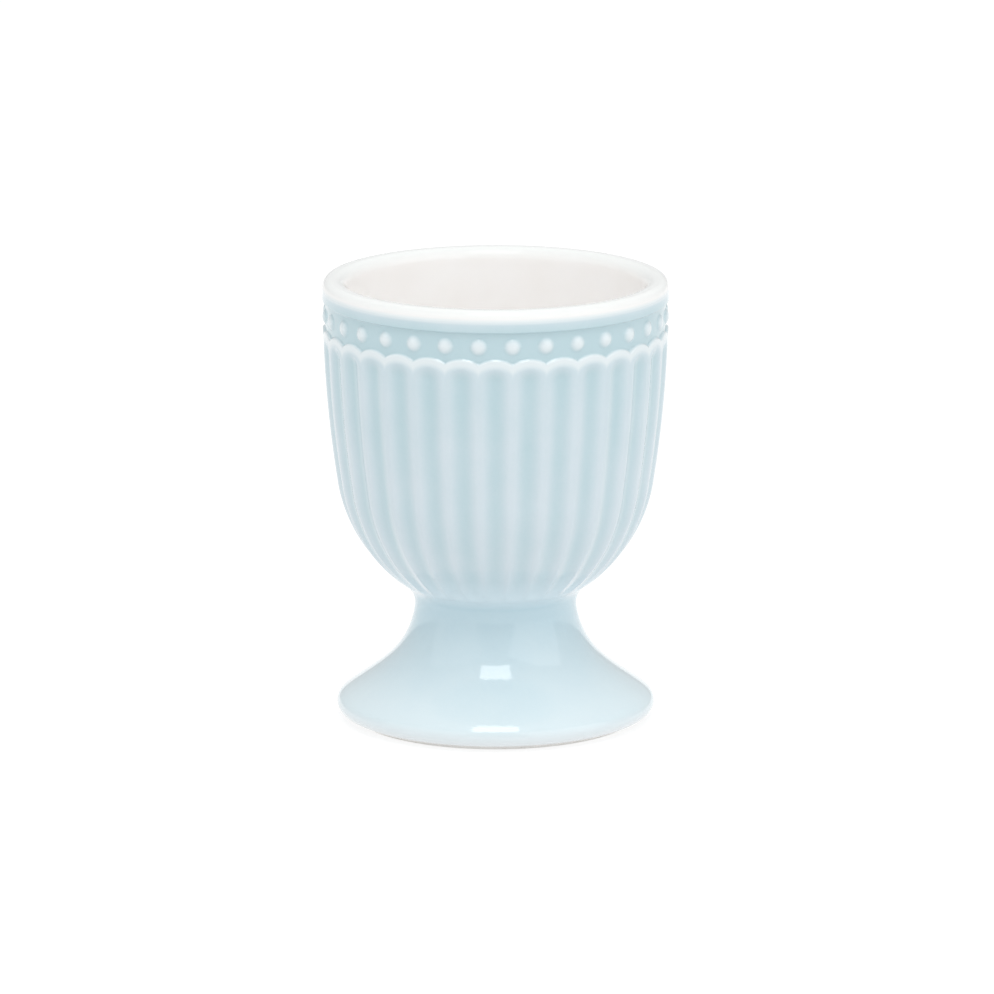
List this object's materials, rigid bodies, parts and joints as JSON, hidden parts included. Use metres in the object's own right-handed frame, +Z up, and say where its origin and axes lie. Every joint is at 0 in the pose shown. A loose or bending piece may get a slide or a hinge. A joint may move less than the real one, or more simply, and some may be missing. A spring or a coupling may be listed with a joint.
{
  "type": "egg cup",
  "caption": "Footed stoneware egg cup: round fluted bowl with a scalloped, beaded border, open at the top to hold a boiled egg, on a flared hollow foot.",
  "frame": {"origin": "centre of the foot ring, on the plane it stands on", "axes": "+Z up along the cup's axis of turning, -Y towards the front, where a flute faces; the cup is the same from every flute"},
  "size_m": [0.05, 0.05, 0.065],
  "materials": {
    "bowl": "glossy pale-blue glaze fired on moulded stoneware, lighter on the ridges",
    "clay": "bare fired stoneware",
    "slip": "fired slip",
    "white_glaze": "glossy white glaze",
    "blue_glaze": "glossy pale-blue glaze",
    "hollow_glaze": "glossy pale-blue glaze"
  },
  "bodies": {
    "root": {"bowl": "bowl", "foot": "clay", "neck_slip": "slip", "lining_glaze": "white_glaze", "foot_glaze": "blue_glaze", "hollow_glaze": "hollow_glaze"}
  },
  "joints": []
}
